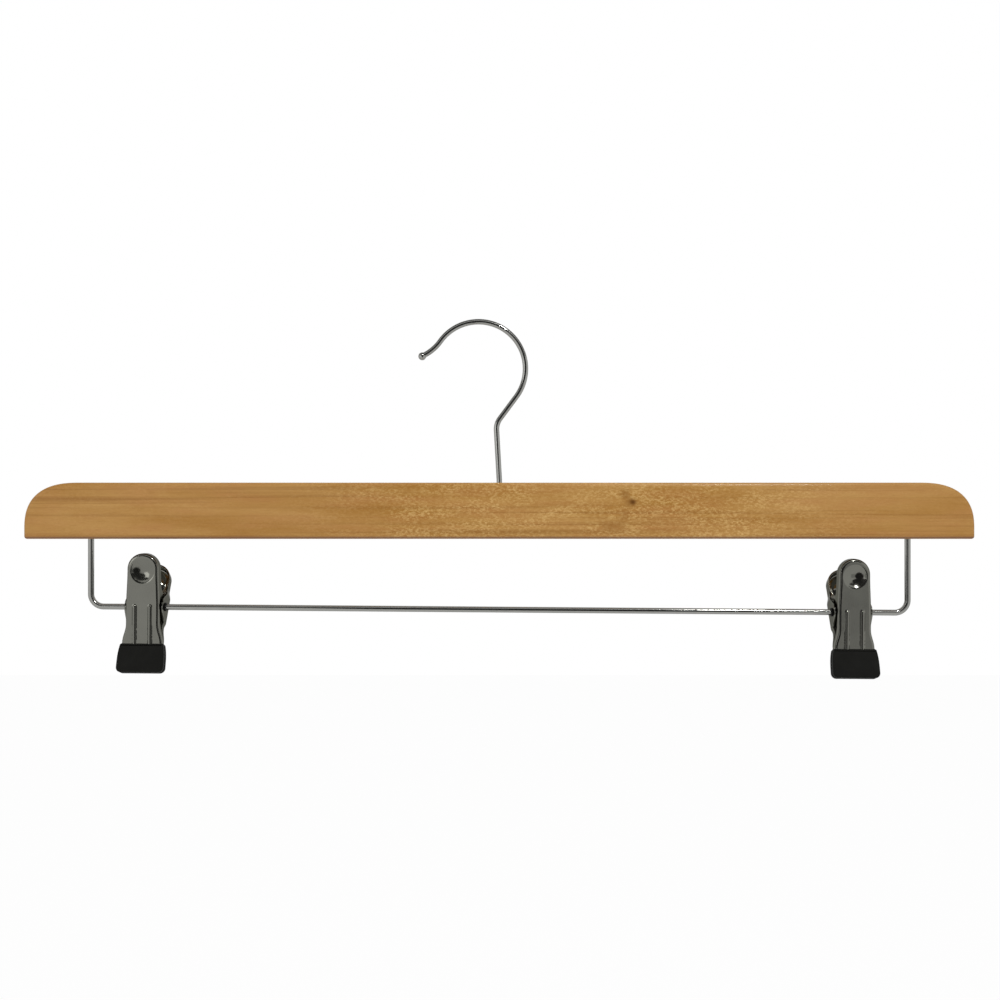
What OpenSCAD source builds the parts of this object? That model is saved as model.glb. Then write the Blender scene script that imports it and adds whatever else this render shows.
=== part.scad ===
// Trouser hanger: a varnished wooden bar with a swivelling wire hook above it and a bent wire bar
// below it, on which two sprung clips with soft boots slide and swing.
// Millimetres, +X along the bar to the right, +Y to the back, +Z up. The origin is the point inside
// the top of the hook that rests on a rail.

/* [Wooden bar] */
// Length of the wooden bar
wood_len = 445; // [380:1:500]
// Height of the wooden bar
wood_h = 26.4; // [24:0.1:32]
// Thickness of the wooden bar, front to back
wood_t = 12; // [10:0.5:18]
// Length of the rounding at each end
end_len = 25.7; // [16:0.1:36]
// Height of the rounding at each end
end_h = 21.7; // [16:0.1:22]
// Squareness of the end rounding, where 2 is an ellipse
end_power = 2.55; // [2:0.05:3.5]
// Radius of the lower corners
corner_r = 1.3; // [1:0.1:2]
// Radius of the long edges
edge_r = 1.8; // [0.8:0.1:3]

/* [Hook] */
// Diameter of the hook's wire
hook_d = 2.6; // [2.2:0.1:3.6]
// Height of the upright stretch above the wood
upright_len = 1; // [0.5:0.1:4]
// Lean of the shank away from upright, in degrees
shank_lean = 3.2; // [1:0.1:6]
// Length of the leaning stretch of the shank
shank_len = 23; // [15:0.5:35]
// Radius of the bend above the shank
throat_r = 8.5; // [6:0.5:14]
// Slope of the throat away from upright, in degrees
throat_slope = 36.6; // [30:0.1:42]
// Length of the straight throat
throat_len = 12.8; // [8:0.1:18]
// Radius of the hook's bow, to the middle of the wire
bow_r = 22.2; // [18:0.1:26]
// Turn of the hook's bow, in degrees
bow_turn = 181; // [165:1:190]
// Radius of the outward curve at the tip
tip_r = 21; // [15:1:40]
// Turn of the outward curve at the tip, in degrees
tip_turn = 25; // [15:1:40]
// Length of the straight end that carries the ball
tip_len = 2; // [1.5:0.1:6]
// Diameter of the ball on the tip
ball_d = 3.7; // [3.7:0.1:5]
// Diameter of the hook's head under the wood
head_d = 5.2; // [4.8:0.1:6]
// Thickness of the hook's head
head_h = 1.5; // [1:0.1:2]
// Diameter of the washer over the head
washer_d = 8; // [7:0.1:9]
// Thickness of the washer
washer_t = 1; // [0.6:0.1:1.5]
// Depth of the pocket in the wood's underside for washer and head
pocket_depth = 5; // [4.8:0.1:7]

/* [Clip bar] */
// Diameter of the clip bar's wire
bar_d = 2.8; // [2.2:0.1:3.2]
// Distance between the clip bar's legs, middle to middle
leg_gap = 385.6; // [340:0.1:395]
// Drop from the wood to the middle of the bar at the left leg
drop_left = 32; // [31.6:0.1:38]
// Drop from the wood to the middle of the bar at the right leg
drop_right = 35; // [31.6:0.1:38]
// Radius of the two bends, to the middle of the wire
bend_r = 6; // [4:0.5:8]
// Length of each leg inside the wood
leg_in = 15; // [8:0.5:18]

/* [Clips] */
// Place of the left clip along the hanger
left_x = -166.7; // [-170:0.1:-100]
// Place of the right clip along the hanger
right_x = 166; // [100:0.1:170]
// Swing of a clip towards the front from hanging plumb, in degrees
clip_swing = 16; // [0:1:30]
// Lean of each jaw's arm away from the clip's middle plane, in degrees
arm_lean = 16; // [14:0.5:17]
// Thickness of the pressed sheet
sheet = 0.8; // [0.6:0.1:0.9]
// Distance from the bar's middle to a jaw's outer face
face_out = 6.6; // [6.4:0.1:7.2]
// Height of a thumb plate above the bar's middle
thumb_top = 25.5; // [23:0.1:28]
// How much lower the rear jaw's thumb plate ends than the front jaw's
rear_less = 1.5; // [0:0.1:2.5]
// Width of the front jaw's thumb plate
thumb_w = 14.6; // [13:0.1:15]
// Width of the front jaw at the bar
waist_w = 15.7; // [15:0.1:16]
// Width of either jaw where the boot begins
flare_w = 19.2; // [18:0.1:20]
// Depth of the bar's middle above the bend at the boot
bend_drop = 16.6; // [15.6:0.1:17]
// Radius of the rounded fold between a jaw's face and its sides
fold_r = 1.4; // [1.2:0.1:2]
// Depth of a thumb plate's rim
rim_depth = 5; // [4:0.1:5.2]
// Height above the bar's middle where the rim widens into the ears
rim_low = 9; // [8:0.1:11]
// Radius of the ears round the bar
ear_r = 4.4; // [3.8:0.1:4.6]
// Gap between the front jaw's ears and the rear jaw's ears
ear_gap = 0.35; // [0.2:0.05:0.4]
// Height of the middle of the thumb dish above the bar's middle
dish_up = 17.2; // [16:0.1:18]
// Radius of the thumb dish
dish_r = 5.5; // [4.5:0.1:5.8]
// Depth of the thumb dish
dish_depth = 1.7; // [1:0.1:2]
// Distance between the two pressed ribs, middle to middle
rib_gap = 7.2; // [6:0.1:8]
// Width of a pressed rib
rib_w = 2; // [1.8:0.1:2.6]
// Height of a pressed rib over the face
rib_h = 0.6; // [0.3:0.05:0.6]
// Top of the ribs above the bar's middle
rib_top = 1.5; // [0:0.1:4]
// Length of the flat tongue inside a boot
tongue_len = 12.2; // [10:0.1:13]

/* [Boots] */
// Thickness of a boot over the tongue's outer face
boot_out = 0.9; // [0.7:0.05:1.2]
// Width of a boot at its mouth
boot_mouth_w = 20.2; // [20.2:0.1:21]
// Greatest width of a boot
boot_w = 21.9; // [21.5:0.1:23]
// Thickness of a boot below the tongue
boot_toe = 1.4; // [1:0.1:2]

/* [Sleeve and spring] */
// Outer diameter of the sleeve that a clip turns on
sleeve_d = 4; // [3.9:0.05:4.3]
// Length of the sleeve outside the ears, at each side
sleeve_out = 0.5; // [0.3:0.1:1]
// Diameter of the spring's wire
spring_d = 1; // [0.8:0.1:1.1]
// Radius of the spring's curls, to the middle of the wire
curl_r = 2.9; // [2.8:0.05:3]
// Whole turns of the spring
curls = 3; // [2:1:4]
// Step from one curl to the next
curl_step = 1.6; // [1.55:0.05:1.8]
// Height above the bar's middle where the spring's arms press on the jaws
arm_up = 11; // [9:0.1:11.2]

/* [Fits] */
// Running clearance of a shaft in its hole, on the radius
run_fit = 0.06; // [0.03:0.01:0.09]
// Clearance of the bar's legs in the wood, on the radius
leg_fit = 0.03; // [0.01:0.01:0.08]
// End play of the washer and the head under the wood
end_play = 0.1; // [0.05:0.05:0.3]
// Clearance of a tongue in its boot
boot_fit = 0.04; // [0.02:0.01:0.1]
// Gap from either jaw to the clip's middle plane when it is shut
shut_gap = 0.06; // [0.05:0.01:0.2]
// Gap from the lower flange of either jaw to the clip's middle plane
flange_gap = 0.2; // [0.15:0.05:0.3]
// Gap from the spring's arms to the jaws
arm_gap = 0.1; // [0.05:0.05:0.3]

/* [Hidden] */
$fn = 64;

wood_colour = "#c0935a";
chrome_colour = "#b9b9b4";
plate_colour = "#74746c";
rubber_colour = "#1d1d1b";
spring_colour = "#8c8c88";

// Thickness of the flat layers that a rounded slab is drawn round
layer = 0.02;
// Steps in a quarter turn of a rounded edge
edge_steps = 4;
// What a cut reaches past the solid it cuts
past = 1;
// How far the pieces of a bent wire stop short of each other, and what a knuckle adds to the diameter
short = 0.05;
knuckle = 0.02;
// How far a straight edge runs into the round that it meets
tuck = 0.06;

// The hook's wire as bends and straights, from its lower end: [length, 0] or [radius, turn]
head_low = pocket_depth - 2 * end_play - washer_t - head_h;
lean_r = 15;
hook_steps = [
    [wood_h - head_low + upright_len, 0],
    [lean_r, -shank_lean],
    [shank_len, 0],
    [throat_r, shank_lean + throat_slope],
    [throat_len, 0],
    [bow_r, -bow_turn],
    [tip_r, tip_turn],
    [tip_len, 0]
];

// Place [x, z] and heading from upright after the first n steps of a bent wire
function step_end(at, step) =
    let (
        size = step[0],
        turn = step[1],
        side = sign(turn),
        ahead = turn == 0 ? size : size * sin(abs(turn)),
        across = side * size * (1 - cos(turn)),
        head = at[2]
    )
    [
        at[0] + ahead * sin(head) + across * cos(head),
        at[1] + ahead * cos(head) - across * sin(head),
        head + turn
    ];
function wire_end(steps, n) = n == 0 ? [0, 0, 0] : step_end(wire_end(steps, n - 1), steps[n - 1]);

// Middle of the hook's bow and the point under its top, from the middle of the wood's underside
bow_start = wire_end(hook_steps, 5);
seat = [
    bow_start[0] - bow_r * cos(bow_start[2]),
    0,
    head_low + bow_start[1] + bow_r * sin(bow_start[2]) + bow_r - hook_d / 2
];

// The clip bar's line between its two corners, its tilt in whole ten-thousandths of a degree
leg_x = leg_gap / 2;
bar_tilt = round(1e4 * atan((drop_right - drop_left) / leg_gap)) / 1e4;
function bar_point(x) = [x, 0, -drop_left - (x + leg_x) * tan(bar_tilt)];

// Heights of a jaw's outline and its half width there, from the thumb plate down
ear_out = waist_w / 2 + ear_gap + sheet;
rear_thumb_r = thumb_w / 2 + sheet;
rear_top = thumb_top - rear_less;
rear_straight = 5;
ear_zone = 6;
waist_low = 7.5;
front_knots = [
    [thumb_top - thumb_w / 2, thumb_w / 2],
    [0, waist_w / 2],
    [-waist_low, waist_w / 2],
    [-bend_drop, flare_w / 2]
];
rear_knots = [
    [rear_top - rear_thumb_r, rear_thumb_r],
    [rear_top - rear_thumb_r - rear_straight, rear_thumb_r],
    [ear_zone, ear_out],
    [-ear_zone, ear_out],
    [-waist_low - 1, (ear_out + waist_w / 2) / 2],
    [-bend_drop, flare_w / 2]
];

// The boot's inner wall fills the space from the tongue to the clip's middle plane
boot_in = (face_out - sheet) * cos(arm_lean) - bend_drop * sin(arm_lean) - shut_gap;
boot_gap = 0.3;
boot_edge = 0.8;
boot_len = tongue_len - boot_gap + boot_toe;

// SHAPES

// A slab with rounded edges, its outline given as a flat child in X and Z, its middle plane at Y = 0
module rounded_slab(thick, edge) {
    hull()
        for (flip = [0, 1], a = [0 : 90 / edge_steps : 90])
            mirror([0, flip, 0])
                translate([0, thick / 2 - edge * (1 - sin(a)), 0])
                    rotate([90, 0, 0])
                        linear_extrude(layer)
                            offset(delta = -edge * (1 - cos(a)))
                                children();
}

// A bent wire from the origin, upwards, in the plane of X and Z. A positive turn is towards +X. The
// straights and bends stop just short of each other, inside a knuckle that joins them.
module bent_wire(steps, d, i = 0) {
    if (i < len(steps)) {
        size = steps[i][0];
        turn = steps[i][1];
        if (turn == 0)
            translate([0, 0, short])
                cylinder(h = size - 2 * short, d = d);
        else {
            less = atan(short / size);
            mirror([turn > 0 ? 1 : 0, 0, 0])
                translate([-size, 0, 0])
                    rotate([90, 0, 0])
                        rotate([0, 0, less])
                            rotate_extrude(angle = abs(turn) - 2 * less)
                                translate([size, 0])
                                    circle(d = d);
        }
        to = step_end([0, 0, 0], steps[i]);
        translate([to[0], 0, to[1]])
            rotate([0, turn, 0]) {
                if (i + 1 < len(steps))
                    sphere(d = d + knuckle);
                bent_wire(steps, d, i + 1);
            }
    }
}

// A flat outline of Y and Z made solid along X, to both sides
module across(width) {
    rotate([90, 0, 90])
        linear_extrude(width, center = true)
            children();
}

// A bar of round section along X
module rod(width, d) {
    rotate([0, 90, 0])
        cylinder(h = width, d = d, center = true);
}

// A tube of flat triangles along a path that stays about square to X
function unit(v) = v / norm(v);
function heading(path, i) = unit(path[min(i + 1, len(path) - 1)] - path[max(i - 1, 0)]);
function ring(path, i, r, sides) =
    let (
        along = heading(path, i),
        out = unit(cross(along, [1, 0, 0])),
        up = cross(along, out)
    )
    [for (k = [0 : sides - 1]) path[i] + r * (cos(360 * k / sides) * out + sin(360 * k / sides) * up)];
module tube(path, r, sides) {
    last = (len(path) - 1) * sides;
    polyhedron(
        points = [for (i = [0 : len(path) - 1]) each ring(path, i, r, sides)],
        faces = concat(
            [for (i = [0 : len(path) - 2], k = [0 : sides - 1])
                [i * sides + k, i * sides + (k + 1) % sides, (i + 1) * sides + k]],
            [for (i = [0 : len(path) - 2], k = [0 : sides - 1])
                [i * sides + (k + 1) % sides, (i + 1) * sides + (k + 1) % sides, (i + 1) * sides + k]],
            [for (k = [1 : sides - 2]) [0, k + 1, k]],
            [for (k = [1 : sides - 2]) [last, last + k, last + k + 1]]
        )
    );
}

// Least gap between points of a tube's path that are more than a half turn apart
function least_gap(path, d, apart) =
    min([for (i = [0 : len(path) - 1], j = [i + apart : 1 : len(path) - 1]) norm(path[i] - path[j])]) - d;

// Right-hand side of a jaw's outline, [x, z] from the top down to well below the bend
thumb_steps = 9;
knot_steps = 4;
below_bend = 3 * fold_r;
function eased(t) = (1 - cos(180 * t)) / 2;
function jaw_side(knots) =
    let (r = knots[0][1], middle = knots[0][0], step = 90 / thumb_steps)
    concat(
        [for (a = [step / 2 : step : 90]) [r * sin(a), middle + r * cos(a)]],
        [for (k = [0 : len(knots) - 2], j = [0 : knot_steps - 1])
            let (t = j / knot_steps)
            [
                knots[k][1] + (knots[k + 1][1] - knots[k][1]) * eased(t),
                knots[k][0] + (knots[k + 1][0] - knots[k][0]) * t
            ]],
        [for (down = [0, below_bend]) [knots[len(knots) - 1][1], knots[len(knots) - 1][0] - down]]
    );
function jaw_outline(knots) =
    let (side = jaw_side(knots), n = len(side))
    concat(side, [for (i = [n - 1 : -1 : 0]) [-side[i][0], side[i][1]]]);
function inset(outline, i, by) =
    let (n = len(outline), run = unit(outline[(i + 1) % n] - outline[(i + n - 1) % n]))
    outline[i] - by * [-run[1], run[0]];

// A pressed tray with a rounded fold, its outer face at Y = -face_out and its open side at the back
module tray(knots) {
    outline = jaw_outline(knots);
    n = len(outline);
    inner_r = fold_r - sheet;
    turns = [0 : 30 : 90];
    // Each ring is [inset, y], over the outside and back along the inside
    rings = concat(
        [for (a = turns) [fold_r * (1 - sin(a)), -face_out + fold_r * (1 - cos(a))]],
        [[0, ear_r + past], [sheet, ear_r + past]],
        [for (a = turns) [sheet + inner_r * (1 - cos(a)), -face_out + sheet + inner_r * (1 - sin(a))]]
    );
    end = (len(rings) - 1) * n;
    polyhedron(
        points = [for (r = rings, i = [0 : n - 1])
            let (p = inset(outline, i, r[0])) [p[0], r[1], p[1]]],
        faces = concat(
            [for (r = [0 : len(rings) - 2], i = [0 : n - 1])
                [r * n + i, (r + 1) * n + (i + 1) % n, r * n + (i + 1) % n]],
            [for (r = [0 : len(rings) - 2], i = [0 : n - 1])
                [r * n + i, (r + 1) * n + i, (r + 1) * n + (i + 1) % n]],
            [for (i = [0 : n / 2 - 2]) [n - 1 - i, i, i + 1]],
            [for (i = [0 : n / 2 - 2]) [n - 1 - i, i + 1, n - 2 - i]],
            [for (i = [0 : n / 2 - 2]) [end + n - 1 - i, end + i + 1, end + i]],
            [for (i = [0 : n / 2 - 2]) [end + n - 1 - i, end + n - 2 - i, end + i + 1]]
        ),
        convexity = 6
    );
}

// WOOD, HOOK AND CLIP BAR

end_points = 14;
corner_points = 3;
function wood_side() = concat(
    [for (a = [-90 : 90 / corner_points : 0])
        [wood_len / 2 - corner_r * (1 - cos(a)), corner_r * (1 + sin(a))]],
    [for (i = [0 : end_points])
        let (a = 90 * i / end_points)
        [
            wood_len / 2 - end_len * (1 - pow(cos(a), 2 / end_power)),
            wood_h - end_h * (1 - pow(sin(a), 2 / end_power))
        ]]
);
module wood_outline() {
    side = wood_side();
    polygon(concat(side, [for (i = [len(side) - 1 : -1 : 0]) [-side[i][0], side[i][1]]]));
}

module wooden_bar() {
    color(wood_colour)
        difference() {
            rounded_slab(wood_t, edge_r)
                wood_outline();
            translate([0, 0, -past])
                cylinder(h = wood_h + 2 * past, r = hook_d / 2 + run_fit);
            translate([0, 0, -past])
                cylinder(h = pocket_depth + past, r = washer_d / 2 + end_play);
            for (side = [-1, 1])
                translate([side * leg_x, 0, -past])
                    cylinder(h = leg_in + past + end_play, r = bar_d / 2 + leg_fit);
        }
}

module hook() {
    color(chrome_colour)
        translate([0, 0, head_low]) {
            cylinder(h = head_h, d = head_d);
            bent_wire(hook_steps, hook_d);
            ball = wire_end(hook_steps, len(hook_steps));
            translate([ball[0], 0, ball[1]])
                sphere(d = ball_d);
        }
}

module hook_washer() {
    color(chrome_colour)
        translate([0, 0, pocket_depth - end_play - washer_t])
            difference() {
                cylinder(h = washer_t, d = washer_d);
                translate([0, 0, -past])
                    cylinder(h = washer_t + 2 * past, r = hook_d / 2 + run_fit);
            }
}

module clip_bar() {
    left_cut = bend_r * tan((90 - bar_tilt) / 2);
    right_cut = bend_r * tan((90 + bar_tilt) / 2);
    // The wire runs down the left leg, along the bar and up the right leg
    steps = [
        [leg_in + drop_left - left_cut, 0],
        [bend_r, bar_tilt - 90],
        [leg_gap / cos(bar_tilt) - left_cut - right_cut, 0],
        [bend_r, -bar_tilt - 90],
        [leg_in + drop_right - right_cut, 0]
    ];
    color(chrome_colour)
        translate([-leg_x, 0, leg_in])
            rotate([0, 180, 0])
                bent_wire(steps, bar_d);
}

// CLIPS

// What is drawn round the bar's middle, put on the bar at a place along the hanger and swung
module on_bar(x) {
    translate(bar_point(x))
        rotate([0, bar_tilt, 0])
            rotate([-clip_swing, 0, 0])
                children();
}

// A jaw's arm stands upright with its face to the front, and then leans out from the middle plane
module lean() {
    rotate([arm_lean, 0, 0])
        children();
}
module at_bend() {
    translate([0, sheet - face_out, -bend_drop])
        rotate([-arm_lean, 0, 0])
            children();
}

// How far the ear's slope runs on below it before it meets the middle plane
ear_tail = 2.2;

// Side view of a jaw's arm: rim, ear and the lower flange that ends short of the middle plane
module arm_side() {
    rim_y = rim_depth - face_out;
    // The lines from the rim's lower end and from the flange run into the ear's circle where they
    // would just touch it
    far = norm([rim_y, rim_low]);
    touch = atan2(rim_low, rim_y) - acos(ear_r / far);
    // Point on the line along the middle plane, a given way below the bar
    function low(down) = [
        -flange_gap * cos(arm_lean) - down * sin(arm_lean),
        flange_gap * sin(arm_lean) - down * cos(arm_lean)
    ];
    ear_end = ear_r + ear_tail;
    low_end = (bend_drop + flange_gap * sin(arm_lean)) / cos(arm_lean);
    low_touch = -90 - arm_lean + acos(ear_r / ear_end);
    circle(r = ear_r);
    polygon([
        [-face_out - past, thumb_top + past],
        [rim_y, thumb_top + past],
        [rim_y, rim_low],
        (ear_r - tuck) * [cos(touch), sin(touch)],
        [0, 0],
        (ear_r - tuck) * [cos(low_touch), sin(low_touch)],
        low(ear_end),
        low(low_end),
        [-face_out - past, -bend_drop]
    ]);
}

// The two ribs along an arm, or along the tongue below it
module ribs(from, to, r, deep) {
    for (side = [-1, 1])
        translate([side * rib_gap / 2, deep, 0]) {
            translate([0, 0, to])
                cylinder(h = from - to, r = r);
            translate([0, 0, from])
                sphere(r = r);
        }
}

rib_r = (rib_w * rib_w / 4 + rib_h * rib_h) / (2 * rib_h);

// The flat tongue that the boot is pushed onto, hanging from the bend
tongue_cut = 2;
module tongue(grow) {
    translate([0, -sheet - grow, 0])
        rotate([-90, 0, 0])
            linear_extrude(sheet + 2 * grow)
                difference() {
                    translate([-flare_w / 2 - grow, -layer])
                        square([flare_w + 2 * grow, tongue_len + grow + layer]);
                    for (side = [-1, 1])
                        translate([side * (flare_w / 2 + grow), tongue_len + grow])
                            rotate(45)
                                square(tongue_cut, center = true);
                }
}

module jaw(knots, dish_z) {
    dish_ball = (dish_r * dish_r + dish_depth * dish_depth) / (2 * dish_depth);
    dish_y = -face_out + dish_depth - dish_ball;
    color(plate_colour)
        difference() {
            union() {
                intersection() {
                    tray(knots);
                    across(2 * flare_w)
                        arm_side();
                }
                at_bend()
                    tongue(0);
                intersection() {
                    translate([0, dish_y, dish_z])
                        sphere(r = dish_ball + sheet);
                    translate([-dish_r - past, sheet / 2 - face_out, dish_z - dish_r - past])
                        cube([2 * (dish_r + past), dish_depth + past, 2 * (dish_r + past)]);
                }
                ribs_on_face(rib_r);
            }
            translate([0, dish_y, dish_z])
                sphere(r = dish_ball);
            rod(2 * flare_w, sleeve_d + 2 * run_fit);
        }
}

module ribs_on_face(r) {
    // Only the part of each round rib outside the sheet's middle shows
    intersection() {
        ribs(rib_top - rib_w / 2, -bend_drop, r, r - rib_h - face_out);
        translate([-flare_w / 2, -face_out - past, -bend_drop])
            cube([flare_w, past + sheet / 2, bend_drop + rib_top + past]);
    }
}

// Right-hand side of a boot's outline from its mouth down, [x, z]
mouth_r = 0.35;
toe_r = 2.4;
toe_steps = 4;
taper_len = boot_len / 3;
function boot_side() = concat(
    [
        [boot_mouth_w / 2 - mouth_r, 0],
        [boot_mouth_w / 2, -mouth_r],
        [boot_w / 2, -taper_len]
    ],
    [for (a = [0 : 90 / toe_steps : 90])
        [boot_w / 2 - toe_r * (1 - cos(a)), toe_r * (1 - sin(a)) - boot_len]]
);
module boot() {
    thick = boot_in + sheet + boot_out;
    side = boot_side();
    color(rubber_colour)
        difference() {
            translate([0, boot_in - thick / 2, -boot_gap])
                rounded_slab(thick, boot_edge)
                    polygon(concat(side, [for (i = [len(side) - 1 : -1 : 0]) [-side[i][0], side[i][1]]]));
            tongue(boot_fit);
        }
}

module sleeve() {
    color(rubber_colour)
        difference() {
            rod(2 * (ear_out + sleeve_out), sleeve_d);
            rod(2 * (ear_out + sleeve_out + past), bar_d + 2 * run_fit);
        }
}

// The spring's path: down its rear arm, round the curls and up its front arm
curl_rings = 8;
arm_tip = [sheet - face_out + spring_d / 2 + arm_gap, arm_up];
arm_touch = atan2(arm_tip[1], arm_tip[0]) + acos(curl_r / norm(arm_tip));
curl_from = 180 - (arm_touch + arm_lean);
curl_turn = 360 * curls + 180 + 2 * curl_from;
curl_count = round(curl_turn / 360 * curl_rings);
function spin(p, a) = [p[0] * cos(a) - p[1] * sin(a), p[0] * sin(a) + p[1] * cos(a)];
function spring_path() =
    let (
        tip = spin(arm_tip, arm_lean),
        half = curl_turn / 360 * curl_step / 2
    )
    concat(
        [[-half, -tip[0], tip[1]]],
        [for (i = [0 : curl_count])
            let (t = i / curl_count, a = curl_from - t * curl_turn)
            [half * (2 * t - 1), curl_r * cos(a), curl_r * sin(a)]],
        [[half, tip[0], tip[1]]]
    );
echo(str("Least gap between curls of a spring: ", least_gap(spring_path(), spring_d, 6), " mm"));

module spring() {
    color(spring_colour)
        tube(spring_path(), spring_d / 2, 6);
}

module front_jaw() {
    lean()
        jaw(front_knots, dish_up);
}
module front_boot() {
    lean()
        at_bend()
            boot();
}
module rear_jaw() {
    mirror([0, 1, 0])
        lean()
            jaw(rear_knots, dish_up - rear_less);
}
module rear_boot() {
    mirror([0, 1, 0])
        front_boot();
}

translate(-seat) {
    wooden_bar();
    hook();
    hook_washer();
    clip_bar();
    on_bar(left_x) sleeve();  // left_sleeve
    on_bar(left_x) front_jaw();  // left_front_jaw
    on_bar(left_x) front_boot();  // left_front_boot
    on_bar(left_x) rear_jaw();  // left_rear_jaw
    on_bar(left_x) rear_boot();  // left_rear_boot
    on_bar(left_x) spring();  // left_spring
    on_bar(right_x) sleeve();  // right_sleeve
    on_bar(right_x) front_jaw();  // right_front_jaw
    on_bar(right_x) front_boot();  // right_front_boot
    on_bar(right_x) rear_jaw();  // right_rear_jaw
    on_bar(right_x) rear_boot();  // right_rear_boot
    on_bar(right_x) spring();  // right_spring
}
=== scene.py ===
"""The looks of a trouser hanger: varnished wooden bar, chromed hook and clip bar, two sprung clips."""

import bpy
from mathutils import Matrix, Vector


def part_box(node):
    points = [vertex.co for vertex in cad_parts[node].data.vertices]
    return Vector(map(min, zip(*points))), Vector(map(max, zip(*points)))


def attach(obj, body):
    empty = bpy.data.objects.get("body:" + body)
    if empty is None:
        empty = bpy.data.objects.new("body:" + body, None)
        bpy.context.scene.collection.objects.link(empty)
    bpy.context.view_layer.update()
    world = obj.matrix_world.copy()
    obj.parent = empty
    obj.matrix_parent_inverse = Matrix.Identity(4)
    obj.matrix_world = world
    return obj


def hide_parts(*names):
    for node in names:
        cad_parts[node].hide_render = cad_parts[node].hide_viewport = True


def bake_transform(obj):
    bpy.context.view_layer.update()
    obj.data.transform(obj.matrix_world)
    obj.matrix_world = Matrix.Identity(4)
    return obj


bl_info = {
    "name": "Trouser hanger",
    "version": (1, 0, 0),
    "blender": (4, 5, 0),
    "location": "3D View > Sidebar > Hanger",
    "description": "Makes the pieces of a trouser hanger round its measured frame",
    "category": "Add Mesh",
}

import math

import bmesh
import bpy
import numpy as np
from bpy.props import FloatProperty, FloatVectorProperty, IntProperty, PointerProperty
from bpy.types import Operator, Panel, PropertyGroup
from mathutils import Matrix, Vector

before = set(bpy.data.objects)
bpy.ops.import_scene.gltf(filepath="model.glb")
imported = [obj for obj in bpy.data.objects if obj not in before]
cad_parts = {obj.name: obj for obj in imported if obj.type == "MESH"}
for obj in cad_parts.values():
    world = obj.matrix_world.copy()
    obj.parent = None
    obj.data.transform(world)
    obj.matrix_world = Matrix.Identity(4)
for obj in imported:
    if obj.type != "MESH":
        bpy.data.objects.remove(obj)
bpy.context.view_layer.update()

MM = 0.001
SIDES = ("left", "right")


# Colours and small helpers


def linear(hex_colour):
    """A linear colour with alpha from an sRGB hex value."""
    parts = [int(hex_colour[i:i + 2], 16) / 255 for i in (1, 3, 5)]
    return tuple(c / 12.92 if c <= 0.04045 else ((c + 0.055) / 1.055) ** 2.4 for c in parts) + (1.0,)


def length(name, description, default, low=0.0, high=1000.0):
    """A size in millimetres."""
    return FloatProperty(
        name=name, description=description + " in mm", default=default, min=low, max=high
    )


def angle(name, description, default):
    """An angle in degrees."""
    return FloatProperty(
        name=name, description=description + " in degrees", default=default, min=-360.0, max=360.0
    )


def colour(name, description, hex_colour):
    """A colour from its sRGB hex value."""
    return FloatVectorProperty(
        name=name, description=description, default=linear(hex_colour), size=4, subtype="COLOR",
        min=0.0, max=1.0,
    )


# Sizes and colours that a user would change. They are those of the measured model.


class WoodSettings(PropertyGroup):
    """Sizes and colours of the wooden bar."""

    bar_length: length("Length", "Length of the wooden bar", 445.0)
    height: length("Height", "Height of the wooden bar", 26.4)
    thickness: length("Thickness", "Thickness of the wooden bar", 12.0)
    end_length: length("End length", "Length of the rounding at each end", 25.7)
    end_height: length("End height", "Height of the rounding at each end", 21.7)
    end_power: FloatProperty(name="End squareness", description="2 is an ellipse", default=2.55)
    corner: length("Corner radius", "Radius of the lower corners", 1.3)
    edge: length("Edge radius", "Radius of the long edges", 1.8)
    pocket_width: length("Pocket", "Diameter of the pocket under the hook", 8.2)
    pocket_depth: length("Pocket depth", "Depth of the pocket under the hook", 5.0)
    knot_x: length("Knot place", "Knot from the bar's middle", 62.4, -220.0, 220.0)
    knot_z: length("Knot height", "Knot above the bar's underside", 17.3)
    pale: colour("Pale wood", "The wood between the growth lines", "#B98C4E")
    deep: colour("Deep wood", "The wood's darker stretches", "#A67635")
    warm: colour("Warm wood", "Redder patches", "#B07A45")
    line: colour("Growth lines", "Growth lines and pores", "#8E6028")
    fleck_and_painted_sparkle: colour("Flecks", "Light flecks of cut fibres", "#DDB877")
    # The flecks' colour is partly cut fibres and partly painted sparkle of the varnish
    swirl: colour("Swirl", "Darker wood beside the knot", "#9A6A32")
    knot: colour("Knot", "The knot's middle", "#5F380E")
    # Painted shade of the lower edge, which the light from above leaves dark
    run: colour("Run varnish", "Varnish gathered along the lower edge", "#7A5544")


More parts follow.
